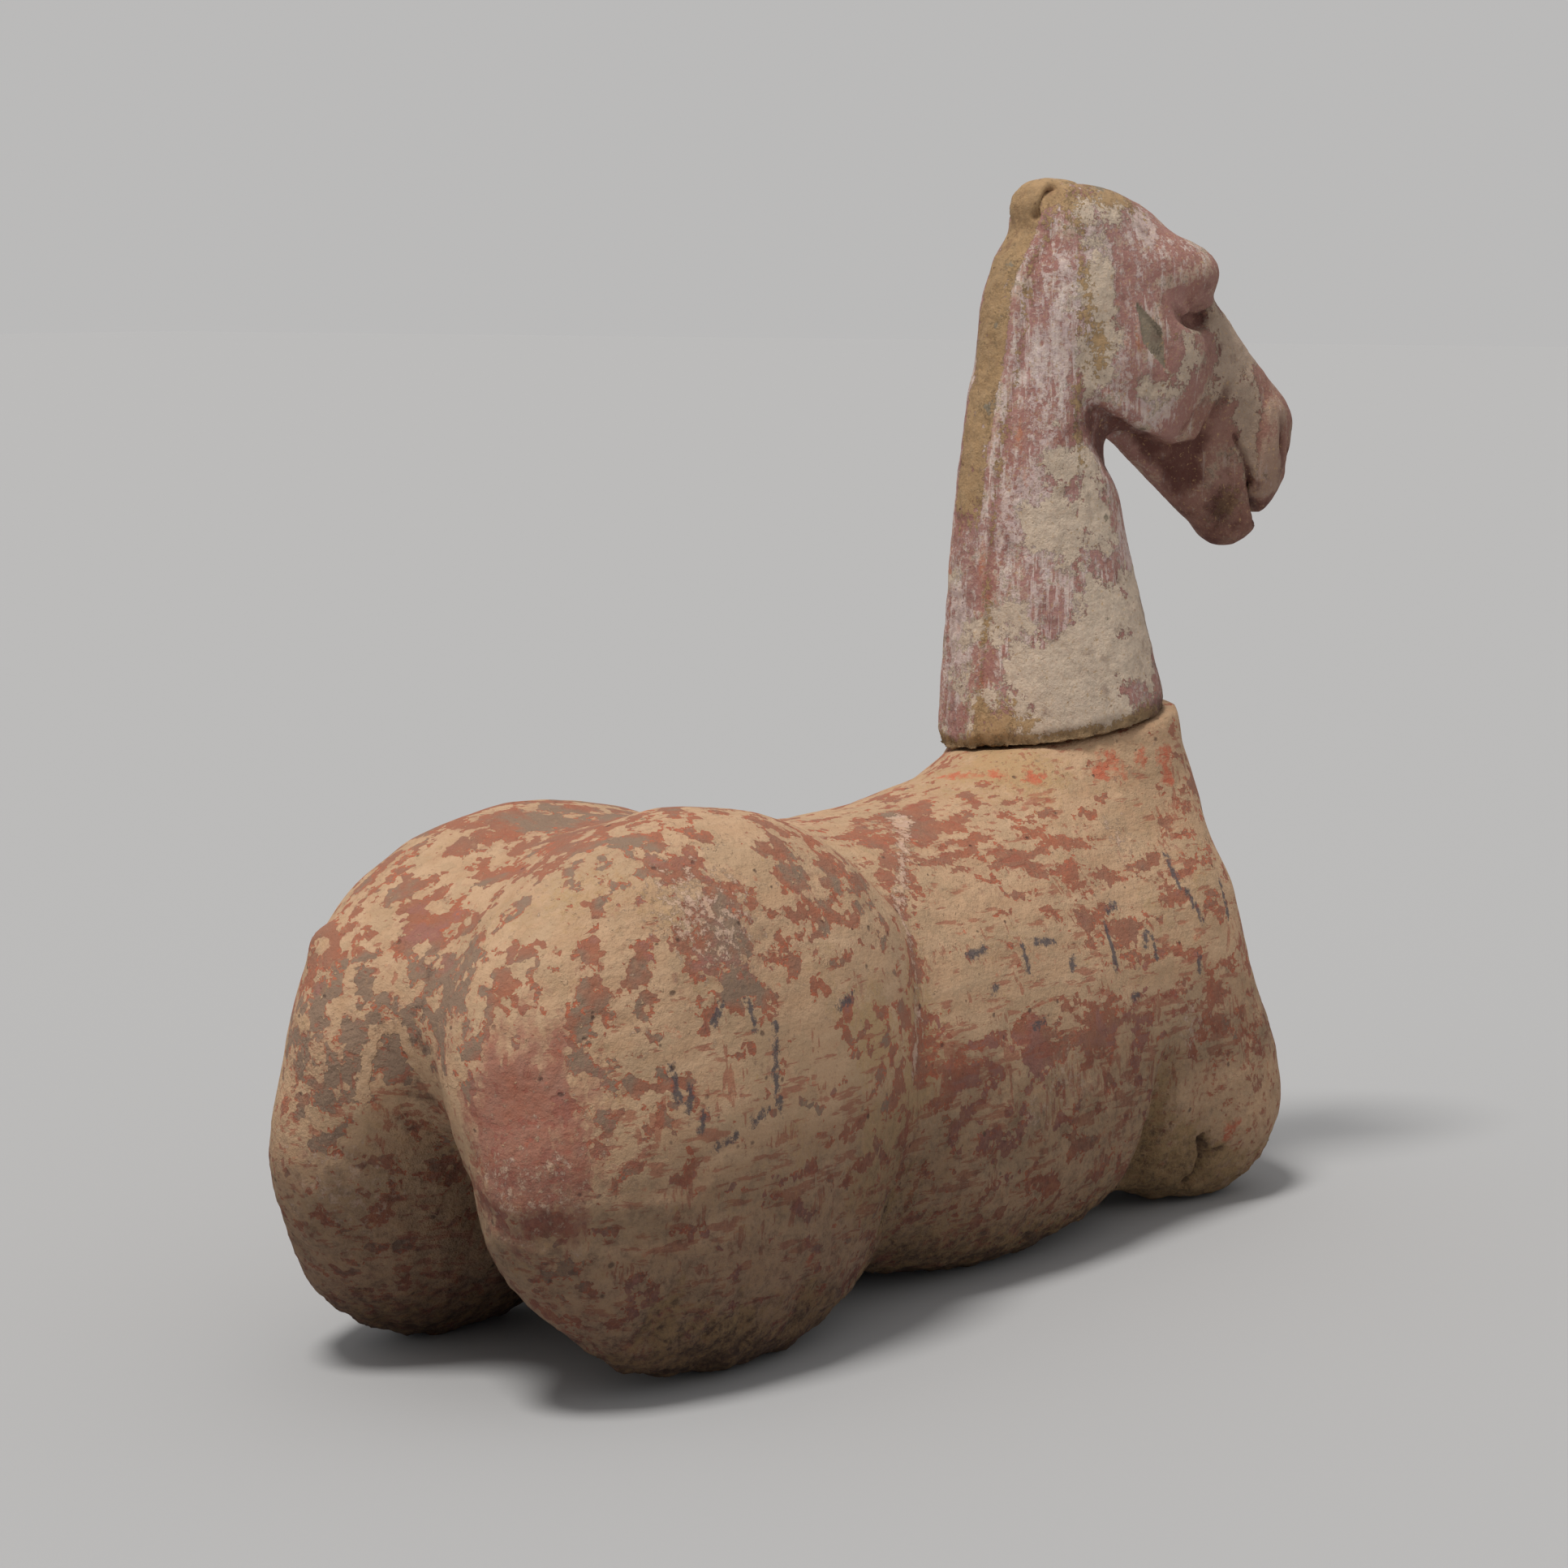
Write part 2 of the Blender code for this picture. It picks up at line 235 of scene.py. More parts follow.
class Finish:  # one painted clay finish, laid coat over coat

    def __init__(self, name, paint, flake):
        self.paint, self.relief, self.drift = paint, [], 0.0
        self.material = bpy.data.materials.new(name)
        self.material.use_nodes = True
        self.tree = self.material.node_tree
        self.shader = self.tree.nodes["Principled BSDF"]
        self.shader.inputs["Specular IOR Level"].default_value = 0.25
        self.place = self.node("ShaderNodeTexCoord").outputs["Object"]
        self.ragged = self.warped(flake * 2.2, flake)
        cells = self.node("ShaderNodeTexVoronoi")
        self.feed(cells.inputs["Vector"], self.ragged)
        cells.inputs["Scale"].default_value = 1 / flake
        self.flakes = self.toward(0.55, self.ragged, cells.outputs["Position"])

    def node(self, kind, **settings):
        made = self.tree.nodes.new(kind)
        for key, value in settings.items():
            setattr(made, key, value)
        return made

    def feed(self, socket, value):
        if isinstance(value, bpy.types.NodeSocket):
            self.tree.links.new(value, socket)
        else:
            socket.default_value = value

    def sum(self, operation, *values, clamp=False):
        made = self.node("ShaderNodeMath", operation=operation, use_clamp=clamp)
        for socket, value in zip(made.inputs, values):
            self.feed(socket, value)
        return made.outputs[0]

    def share(self, name):  # a number kept on the mesh
        return self.node("ShaderNodeAttribute", attribute_name=name).outputs["Fac"]

    def toward(self, share, first, second):  # part of the way from one place to another
        made = self.node("ShaderNodeMix", data_type="VECTOR")
        for socket, value in zip((made.inputs[0], made.inputs[4], made.inputs[5]), (share, first, second)):
            self.feed(socket, value)
        return made.outputs[1]

    def warped(self, size, reach):  # places pushed about, for ragged edges
        noise = self.node("ShaderNodeTexNoise")
        self.feed(noise.inputs["Vector"], self.place)
        noise.inputs["Scale"].default_value = 1 / size
        noise.inputs["Detail"].default_value = 3
        centred = self.node("ShaderNodeVectorMath", operation="SUBTRACT")
        self.feed(centred.inputs[0], noise.outputs["Color"])
        centred.inputs[1].default_value = (0.5, 0.5, 0.5)
        pushed = self.node("ShaderNodeVectorMath", operation="MULTIPLY_ADD")
        self.feed(pushed.inputs[0], centred.outputs[0])
        pushed.inputs[1].default_value = (reach, reach, reach)
        self.feed(pushed.inputs[2], self.place)
        return pushed.outputs[0]

    def noise(self, size, detail=5, rough=0.6, where=None, stretch=(1, 1, 1), turn=(0, 0, 0), gain=2.6):
        self.drift += 0.37  # each pattern lies elsewhere in the noise
        mapping = self.node("ShaderNodeMapping")
        self.feed(mapping.inputs["Vector"], where or self.place)
        mapping.inputs["Location"].default_value = (self.drift, self.drift, self.drift)
        mapping.inputs["Rotation"].default_value = [math.radians(angle) for angle in turn]
        mapping.inputs["Scale"].default_value = stretch
        made = self.node("ShaderNodeTexNoise")
        self.feed(made.inputs["Vector"], mapping.outputs[0])
        made.inputs["Scale"].default_value = 1 / size
        made.inputs["Detail"].default_value = detail
        made.inputs["Roughness"].default_value = rough
        return self.sum("MULTIPLY_ADD", made.outputs["Fac"], gain, 0.5 - gain / 2)  # spread to fill 0 to 1

    def cover(self, amount, pattern, soft):  # where a coat that covers this much of a pattern lies
        above = self.sum("SUBTRACT", self.sum("ADD", amount, pattern), 1.0)
        return self.sum("MULTIPLY_ADD", above, 1 / soft, 0.5, clamp=True)

    def blend(self, share, first, second):
        made = self.node("ShaderNodeMix", data_type="FLOAT")
        for socket, value in zip((made.inputs[0], made.inputs[2], made.inputs[3]), (share, first, second)):
            self.feed(socket, value)
        return made.outputs[0]

    def lay(self, below, above, mask):
        made = self.node("ShaderNodeMix", data_type="RGBA")
        for socket, value in zip((made.inputs[0], made.inputs[6], made.inputs[7]), (mask, below, above)):
            self.feed(socket, (*self.paint[value], 1) if isinstance(value, str) else value)
        return made.outputs[2]

    def coat(self, below, colours, amount, pattern, soft=0.05, strength=1.0, raised=0.0, mottle=0.006):
        mask = self.cover(amount, pattern, soft)
        if raised:
            self.relief.append((mask, raised))
        tone = colours[0]
        if len(colours) > 1:
            tone = self.lay(colours[0], colours[1], self.noise(mottle, 5, 0.7))
        return self.lay(below, tone, self.sum("MULTIPLY", mask, strength))

    def pits(self, size, share):  # pinholes, in this share of the cells
        cells = self.node("ShaderNodeTexVoronoi")
        self.feed(cells.inputs["Vector"], self.ragged)
        cells.inputs["Scale"].default_value = 1 / size
        pick = self.node("ShaderNodeSeparateColor")
        self.feed(pick.inputs[0], cells.outputs["Color"])
        reach = self.sum("MULTIPLY_ADD", pick.outputs[1], 1.6, 0.5)  # some wider than others
        hole = self.sum("MULTIPLY_ADD", cells.outputs["Distance"], -6.0, reach, clamp=True)
        return self.sum("MULTIPLY", hole, self.sum("LESS_THAN", pick.outputs[0], share))

    def finish(self, skin, low, high, grain):  # colour, roughness between low and high, and all the relief
        self.feed(self.shader.inputs["Base Color"], skin)
        self.feed(self.shader.inputs["Roughness"], self.blend(grain, low, high))
        total = 0.0
        for mask, depth in self.relief:
            total = self.sum("MULTIPLY_ADD", mask, depth, total)
        bump = self.node("ShaderNodeBump")
        bump.inputs["Strength"].default_value = 1.0
        bump.inputs["Distance"].default_value = 1.0
        self.feed(bump.inputs["Height"], total)
        self.feed(self.shader.inputs["Normal"], bump.outputs[0])
        return self.material


bodyPaint = {
    "cream": (0.490, 0.303, 0.178),
    "pale cream": (0.580, 0.388, 0.243),
    "olive": (0.370, 0.270, 0.165),
    "tan": (0.440, 0.250, 0.150),
    "ochre": (0.500, 0.305, 0.150),
    "sand": (0.400, 0.270, 0.130),
    "terracotta": (0.385, 0.136, 0.076),
    "brown": (0.290, 0.150, 0.100),
    "grey brown": (0.270, 0.180, 0.125),
    "rim": (0.470, 0.140, 0.075),
    "rose": (0.330, 0.096, 0.064),
    "mauve": (0.330, 0.148, 0.115),
    "chalk": (0.660, 0.470, 0.385),
    "ink": (0.100, 0.085, 0.090),
    "vermilion": (0.600, 0.115, 0.060),
    # colour of the painted shade
    "painted_shade": (0.135, 0.060, 0.052),
    # colour of soil and of painted shade
    "soil_and_painted_shade": (0.090, 0.050, 0.040),
}


def slipAndPaint():
    clay = Finish("worn slip and terracotta paint", bodyPaint, 0.0042)
    grit = clay.noise(0.0040, 5, 0.75)
    fine = clay.noise(0.0014, 4, 0.7)
    wiped = clay.noise(0.012, 5, 0.65, stretch=(0.12, 1, 1), turn=(0, 20, 30))
    broad = clay.noise(0.075, 4)

    islands = clay.noise(0.0135, 7, 0.58, clay.flakes, stretch=(0.7, 1, 1), turn=(0, 25, 20))
    runs = clay.noise(0.012, 7, 0.60, clay.flakes, stretch=(0.34, 1, 0.9), turn=(0, 8, 8))
    pattern = clay.blend(clay.share("streak"), islands, runs)
    clusters = clay.sum("MULTIPLY_ADD", clay.noise(0.09, 3), 0.20, -0.10)
    painted = clay.sum("ADD", clay.share("paint"), clusters)

    skin = clay.lay("cream", "pale cream", wiped)
    skin = clay.coat(skin, ("olive", "tan"), 0.30, broad, 0.6, 0.25, mottle=0.02)
    ghosts = clay.noise(0.030, 7, 0.6, clay.flakes)
    skin = clay.coat(skin, ("olive",), 0.42, ghosts, 0.02, 0.24, 0.00012)
    skin = clay.coat(skin, ("ochre", "sand"), clay.share("stain"), clay.blend(0.5, grit, broad), 0.25, 0.7)
    speckled = clay.blend(0.40, pattern, grit)
    skin = clay.coat(skin, ("tan", "mauve"), painted, speckled, 0.16, 0.45, mottle=0.009)

    patches = clay.cover(painted, pattern, 0.012)
    rimmed = clay.sum("MULTIPLY_ADD", clay.noise(0.03, 3), 0.05, 0.005)
    inside = clay.cover(clay.sum("SUBTRACT", painted, rimmed), pattern, 0.03)
    grey = clay.cover(clay.share("grey"), clay.noise(0.045, 4), 0.2)
    colour = clay.lay(clay.lay("terracotta", "brown", clay.noise(0.03, 4)), "grey brown", grey)
    colour = clay.coat(colour, ("mauve",), clay.share("rosy"), clay.noise(0.02, 5), 0.3, 0.9)
    colour = clay.coat(colour, ("cream", "tan"), 0.17, clay.noise(0.0050, 6, 0.72), 0.4, 0.5)
    colour = clay.lay("rim", colour, inside)
    skin = clay.lay(skin, colour, patches)
    clay.relief.append((patches, -0.00035))
    level = clay.noise(0.0040, 5, 0.6, stretch=(0.16, 0.5, 1), turn=(0, 14, 0))
    steep = clay.noise(0.0045, 5, 0.6, stretch=(1, 1, 0.22), turn=(0, -12, 0))
    scribbles = clay.blend(clay.cover(0.36, clay.noise(0.03, 2), 0.1), level, steep)
    clumped = clay.sum("MULTIPLY_ADD", clay.noise(0.05, 3), 0.34, clay.share("strokes"))
    skin = clay.coat(skin, ("rose", "terracotta"), clumped, scribbles, 0.12, 0.65, -0.00015, mottle=0.02)

    rubbed = clay.noise(0.014, 6, 0.7, clay.flakes, stretch=(1, 1, 0.4), turn=(15, 10, 0))
    skin = clay.coat(skin, ("rose", "mauve"), clay.share("rose"), rubbed, 0.45, 0.8, mottle=0.012)
    thick = clay.noise(0.006, 3)
    # a cream slip line over the cleft; on the stump, pale cream as painted light over its own cream-tan
    skin = clay.coat(skin, ("pale cream", "cream"), clay.share("slip line and stump light"), thick, 0.15, 0.9, 0.0006)
    dabbed = clay.noise(0.011, 6, 0.7, clay.flakes, stretch=(0.6, 1, 1))
    skin = clay.coat(skin, ("vermilion", "rim"), clay.share("vermilion"), dabbed, 0.3, 0.8)
    crust = clay.noise(0.0055, 7, 0.78)
    skin = clay.coat(skin, ("chalk", "pale cream"), clay.share("chalk"), crust, 0.14, 0.75, 0.00025)
    skin = clay.coat(skin, ("ink",), clay.share("ink"), clay.noise(0.0042, 7, 0.78), 0.25, 0.88)
    worn = clay.share("worn")
    crumbled = clay.noise(0.012, 7, 0.7)
    skin = clay.coat(skin, ("ochre", "sand"), clay.sum("MULTIPLY", worn, 0.8), crumbled, 0.25, 0.85)
    # painted shade: darker towards the bottom, with some patina
    skin = clay.lay(skin, "painted_shade", clay.share("painted_shade"))
    # darker near the floor and in the stump's crack, and painted shade in the cleft between the thighs
    skin = clay.coat(skin, ("soil_and_painted_shade",), clay.share("soil_and_painted_shade"), clay.noise(0.016, 7, 0.72), 0.35, 0.7)
    skin = clay.coat(skin, ("brown",), 0.14, clay.noise(0.0024, 4, 0.7), 0.2, 0.45)  # freckles
    lumps = clay.blend(0.45, clay.noise(0.0085, 6, 0.72), grit)
    rugged = clay.sum("ADD", clay.share("rough"), worn)
    # painted highlight in ochre on the crests of the rough relief
    painted_crest_highlight = clay.sum("MULTIPLY", rugged, clay.cover(0.34, lumps, 0.3))
    skin = clay.lay(skin, "ochre", clay.sum("MULTIPLY", painted_crest_highlight, 0.25, clamp=True))
    # painted shade with dirt in the crannies of the rough relief
    crannies_shade_and_dirt = clay.sum("MULTIPLY", rugged, clay.cover(0.40, clay.sum("SUBTRACT", 1.0, lumps), 0.3))
    skin = clay.lay(skin, "soil_and_painted_shade", clay.sum("MULTIPLY", crannies_shade_and_dirt, 0.42, clamp=True))
    # painted shade and dirt in the pinholes
    holes = clay.pits(0.0065, 0.09)
    skin = clay.lay(skin, "soil_and_painted_shade", clay.sum("MULTIPLY", holes, 0.7))
    hatch = clay.noise(0.0022, 2, 0.5, stretch=(0.15, 1, 1), turn=(35, 0, 50))
    clay.relief += [
        (wiped, 0.00040),
        (fine, 0.00016),
        (grit, 0.00032),
        (broad, 0.0018),
        (clay.noise(0.011, 4), 0.0009),
        (clay.sum("MULTIPLY", lumps, rugged), 0.0045),
        (clay.sum("MULTIPLY", hatch, clay.share("hatch")), 0.0006),
        (holes, -0.0009),
    ]
    return clay.finish(skin, 0.72, 0.95, fine)


headPaint = {
    "mauve": (0.425, 0.240, 0.218),
    "deep red": (0.345, 0.150, 0.120),
    "tan": (0.560, 0.390, 0.290),
    "lilac": (0.610, 0.485, 0.490),
    "chalk": (0.800, 0.690, 0.600),
    "cream": (0.700, 0.560, 0.425),
    "grey cream": (0.560, 0.455, 0.360),
    "ochre": (0.500, 0.320, 0.160),
    "sand": (0.390, 0.260, 0.140),
    "orange": (0.480, 0.170, 0.085),
    "grey green": (0.290, 0.240, 0.175),
    # colour of the painted shade
    "painted_shade": (0.190, 0.100, 0.065),
    # colour of the painted deep shade
    "painted_deep_shade": (0.110, 0.040, 0.032),
}


def chalkAndMauve():
    clay = Finish("chalky mauve paint", headPaint, 0.0030)
    clouds = clay.noise(0.026, 7, 0.62, clay.flakes)
    streaks = clay.noise(0.007, 7, 0.66, clay.flakes, stretch=(1, 1, 0.2))
    lines = clay.noise(0.0035, 5, 0.7, stretch=(1, 1, 0.06), turn=(4, 6, 0))
    grit = clay.noise(0.0034, 5, 0.75)
    fine = clay.noise(0.0013, 4, 0.7)
    blotches = clay.blend(0.5, clay.noise(0.014, 7, 0.68, clay.flakes), grit)
    dappled = clay.blend(0.3, clouds, grit)
    brushed = clay.blend(0.45, streaks, grit)

    skin = clay.lay("mauve", "deep red", clay.noise(0.02, 5, 0.6, stretch=(1, 1, 0.35), gain=1.8))
    skin = clay.coat(skin, ("tan", "cream"), clay.share("tan"), dappled, 0.12, 0.75, mottle=0.010)
    skin = clay.coat(skin, ("lilac", "chalk"), clay.share("lilac"), clay.blend(0.6, clouds, lines), 0.12, 0.7)
    skin = clay.coat(skin, ("chalk", "lilac"), clay.share("chalk"), brushed, 0.16, 0.70, 0.00015)
    skin = clay.coat(skin, ("chalk",), 0.20, lines, 0.12, 0.35)
    skin = clay.coat(skin, ("orange",), clay.share("orange"), streaks, 0.3, 0.85)
    skin = clay.coat(skin, ("cream", "grey cream"), clay.share("cream"), dappled, 0.03, 1.0, 0.0005)
    skin = clay.coat(skin, ("tan",), 0.34, clay.noise(0.0028, 6, 0.8), 0.3, 0.45)  # specks
    skin = clay.coat(skin, ("ochre", "sand"), clay.share("ochre"), blotches, 0.04, 0.95, 0.0003, mottle=0.004)
    skin = clay.coat(skin, ("grey green",), clay.share("grey green"), clouds, 0.05)
    # painted shade over the face, under the jaw and in the recess under the cheek
    skin = clay.lay(skin, "painted_shade", clay.share("painted_shade"))
    # painted deep shade in the hollows and under the jaw
    skin = clay.coat(skin, ("painted_deep_shade",), clay.share("painted_deep_shade"), clay.noise(0.02, 5), 0.6, 0.85)
    skin = clay.coat(skin, ("ochre",), 0.16, clay.noise(0.0026, 4, 0.7), 0.2, 0.7)  # freckles of bare clay
    holes = clay.pits(0.0042, 0.10)
    # painted deep shade in the pinholes of the pitted areas
    pitted = clay.sum("MULTIPLY", holes, clay.share("pitted"))
    skin = clay.lay(skin, "painted_deep_shade", clay.sum("MULTIPLY", pitted, 0.7))
    clay.relief += [
        (streaks, 0.00025),
        (grit, 0.00035),
        (fine, 0.00016),
        (clay.noise(0.010, 4), 0.0008),
        (clay.sum("MULTIPLY", clay.blend(0.5, clay.noise(0.007, 6, 0.7), grit), clay.share("worn")), 0.0035),
        (pitted, -0.0008),
    ]
    return clay.finish(skin, 0.75, 0.95, fine)


# Places on the body are shares of its box: along from the rump, across from the horse's right, up
bodyPlaces = {
    "painted": [  # more paint left here: place, size, how much
        ((0.20, 0.60, 0.93), 0.055, 0.38),
        ((0.12, 0.48, 0.90), 0.050, 0.15),
        ((0.06, 0.54, 0.77), 0.025, 0.22),
        ((0.04, 0.42, 0.72), 0.020, 0.22),
        ((0.02, 0.56, 0.60), 0.035, 0.46),
        ((0.00, 0.70, 0.56), 0.040, 0.20),
        ((0.02, 0.40, 0.64), 0.030, 0.35),
        ((0.06, 0.15, 0.71), 0.032, 0.36),
        ((0.15, 0.09, 0.78), 0.035, 0.48),
        ((0.17, 0.04, 0.68), 0.030, 0.32),
        ((0.18, 0.23, 0.92), 0.030, 0.15),
        ((0.26, 0.08, 0.81), 0.025, 0.15),
        ((0.02, 0.74, 0.70), 0.040, 0.15),
        ((0.33, 0.14, 0.83), 0.035, 0.25),
        ((0.29, 0.50, 0.92), 0.040, 0.25),
        ((0.46, 0.25, 0.79), 0.035, 0.28),
        ((0.53, 0.30, 0.81), 0.045, 0.32),
        ((0.61, 0.24, 0.79), 0.035, 0.25),
        ((0.69, 0.20, 0.74), 0.035, 0.15),
        ((0.66, 0.14, 0.66), 0.025, 0.25),
        ((0.76, 0.13, 0.63), 0.025, 0.15),
        ((0.81, 0.20, 0.77), 0.020, 0.20),
        ((0.48, 0.07, 0.46), 0.020, 0.30),
        ((0.55, 0.07, 0.45), 0.022, 0.42),
        ((0.64, 0.07, 0.43), 0.024, 0.40),
        ((0.81, 0.07, 0.40), 0.035, 0.25),
        ((0.44, 0.07, 0.38), 0.028, 0.20),
        ((0.87, 0.05, 0.17), 0.028, 0.35),
    ],
    "bare slip": [  # and less here
        ((0.06, 0.27, 0.82), 0.040, 0.20),
        ((0.21, 0.15, 0.88), 0.028, 0.25),
        ((0.18, 0.01, 0.52), 0.055, 0.20),
        ((0.13, 0.12, 0.81), 0.022, 0.25),
        ((0.12, 0.62, 0.88), 0.028, 0.20),
        ((0.47, 0.17, 0.71), 0.040, 0.28),
        ((0.72, 0.38, 0.91), 0.050, 0.25),
        ((0.80, 0.26, 0.87), 0.045, 0.25),
        ((0.47, 0.08, 0.56), 0.050, 0.30),
    ],
    "grey": [
        ((0.02, 0.58, 0.62), 0.042, 0.9),
        ((0.00, 0.67, 0.57), 0.045, 0.9),
        ((0.02, 0.40, 0.64), 0.045, 0.9),
        ((0.07, 0.12, 0.69), 0.060, 0.4),
    ],
    "rose": [
        ((0.01, 0.23, 0.60), 0.038, 0.60),
        ((0.01, 0.19, 0.48), 0.050, 0.62),
        ((0.01, 0.20, 0.40), 0.045, 0.50),
    ],
    "stain": [
        ((0.31, 0.01, 0.55), 0.030, 0.50),
        ((0.31, 0.03, 0.30), 0.045, 0.60),
        ((0.39, 0.09, 0.58), 0.035, 0.45),
        ((0.37, 0.06, 0.42), 0.040, 0.55),
        ((0.43, 0.06, 0.08), 0.060, 0.40),
        ((0.74, 0.10, 0.20), 0.035, 0.75),
        ((0.70, 0.40, 0.90), 0.060, 0.30),
    ],
    "chalk": [
        ((0.54, 0.40, 0.85), 0.020, 0.40),
        ((0.74, 0.22, 0.77), 0.020, 0.42),
        ((0.53, 0.05, 0.32), 0.020, 0.40),
        ((0.58, 0.05, 0.37), 0.025, 0.40),
        ((0.77, 0.07, 0.40), 0.022, 0.42),
        ((0.15, 0.09, 0.79), 0.040, 0.38),
        ((0.16, 0.08, 0.90), 0.050, 0.32),
        ((0.01, 0.20, 0.40), 0.050, 0.34),
        ((0.02, 0.66, 0.34), 0.040, 0.40),
    ],
    "rosy": [  # pinker paint
        ((0.50, 0.06, 0.34), 0.075, 1.0),
        ((0.15, 0.05, 0.20), 0.100, 0.9),
        ((0.70, 0.06, 0.35), 0.070, 0.8),
        ((0.06, 0.54, 0.77), 0.030, 0.6),
        ((0.14, 0.08, 0.84), 0.060, 0.6),
    ],
    "vermilion": [  # a row of dabs along the seat's rim, and three strays
        ((0.66, 0.48, 0.89), 0.012, 0.66),
        ((0.68, 0.40, 0.89), 0.012, 0.66),
        ((0.70, 0.36, 0.89), 0.010, 0.65),
        ((0.76, 0.30, 0.89), 0.010, 0.60),
        ((0.78, 0.28, 0.90), 0.010, 0.60),
        ((0.80, 0.26, 0.90), 0.010, 0.64),
        ((0.83, 0.25, 0.91), 0.012, 0.68),
        ((0.83, 0.24, 0.86), 0.010, 0.60),
        ((0.83, 0.06, 0.16), 0.012, 0.70),
        ((0.23, 0.01, 0.20), 0.005, 0.80),
        ((0.03, 0.40, 0.69), 0.008, 0.55),
    ],
    "worn": [
        ((0.10, 0.07, 0.15), 0.026, 0.8),
        ((0.16, 0.06, 0.08), 0.030, 0.9),
        ((0.24, 0.03, 0.12), 0.022, 0.7),
        ((0.74, 0.11, 0.18), 0.028, 0.6),
        ((0.37, 0.08, 0.22), 0.030, 0.7),
        ((0.35, 0.05, 0.10), 0.040, 0.6),
        ((0.79, 0.11, 0.10), 0.040, 0.9),
    ],
    "ink": [  # dashes on the right side: along and up, then the run along and up in metres
        ((0.14, 0.65), (0.008, 0.010)),
        ((0.17, 0.64), (-0.004, 0.016)),
        ((0.27, 0.63), (0.016, 0.004)),
        ((0.19, 0.58), (0.002, 0.026)),
        ((0.19, 0.50), (-0.005, 0.020)),
        ((0.10, 0.55), (-0.002, 0.018)),
        ((0.11, 0.52), (0.002, 0.014)),
        ((0.14, 0.44), (0.014, 0.004)),
        ((0.17, 0.47), (0.014, 0.006)),
        ((0.12, 0.48), (0.003, 0.010)),
        ((0.49, 0.63), (0.022, 0.002)),
        ((0.58, 0.62), (0.020, -0.003)),
        ((0.55, 0.60), (0.001, 0.016)),
        ((0.69, 0.65), (0.012, 0.002)),
        ((0.72, 0.58), (0.006, 0.008)),
        ((0.80, 0.62), (0.008, -0.020)),
        ((0.79, 0.69), (0.002, 0.020)),
        ((0.67, 0.58), (0.001, 0.026)),
        ((0.61, 0.57), (0.004, 0.006)),
        ((0.73, 0.56), (0.002, 0.014)),
        ((0.79, 0.51), (0.001, 0.012)),
        ((0.85, 0.62), (0.002, 0.024)),
        ((0.50, 0.56), (0.006, 0.002)),
        ((0.69, 0.48), (0.008, 0.002)),
        ((0.55, 0.48), (0.012, 0.001)),
    ],
    "cleft crown": [  # the cream line that arches over the cleft, across and up
        (0.61, 0.50), (0.59, 0.57), (0.58, 0.62), (0.54, 0.63), (0.52, 0.57), (0.50, 0.54), (0.36, 0.56),
    ],
    "brown band": [(0.42, 0.07, 0.43), (0.48, 0.07, 0.45), (0.60, 0.07, 0.44), (0.70, 0.07, 0.45)],
    "waist drip": [
        (0.54, 0.40, 0.85), (0.47, 0.26, 0.80), (0.42, 0.18, 0.73), (0.39, 0.09, 0.58), (0.38, 0.06, 0.46),
    ],
    "side drip": [(0.40, 0.08, 0.56), (0.40, 0.08, 0.50)],
    "stump crack": [(0.80, 0.07, 0.15), (0.81, 0.085, 0.10), (0.81, 0.14, 0.04)],
    "stump fork": [(0.81, 0.085, 0.10), (0.835, 0.08, 0.13)],
    "stump crease": [(0.745, 0.08, 0.37), (0.73, 0.10, 0.20), (0.745, 0.16, 0.08)],
    "thigh ledge": [
        (0.00, 0.32, 0.38), (0.00, 0.21, 0.345), (0.02, 0.16, 0.345), (0.065, 0.08, 0.33),
        (0.11, 0.04, 0.325),
    ],
    "lump": (0.04, 0.76, 0.745),
}

bodyForm = {
    "voxel": 0.0038,
    "rounds": 9,
    "ink width": 0.0054,
    "weathering": {
        "Unevenness": 0.0012, "Lump Size": 0.045, "Roughness": 0.0022, "Rough Size": 0.020,
        "Erosion": 0.0030, "Pit Size": 0.012, "Crumbs": 20000.0, "Crumb Size": 0.0011, "Seed": 4,
    },
}


def onBody(place):
    return bodyLow + np.array(place) * (bodyHigh - bodyLow)


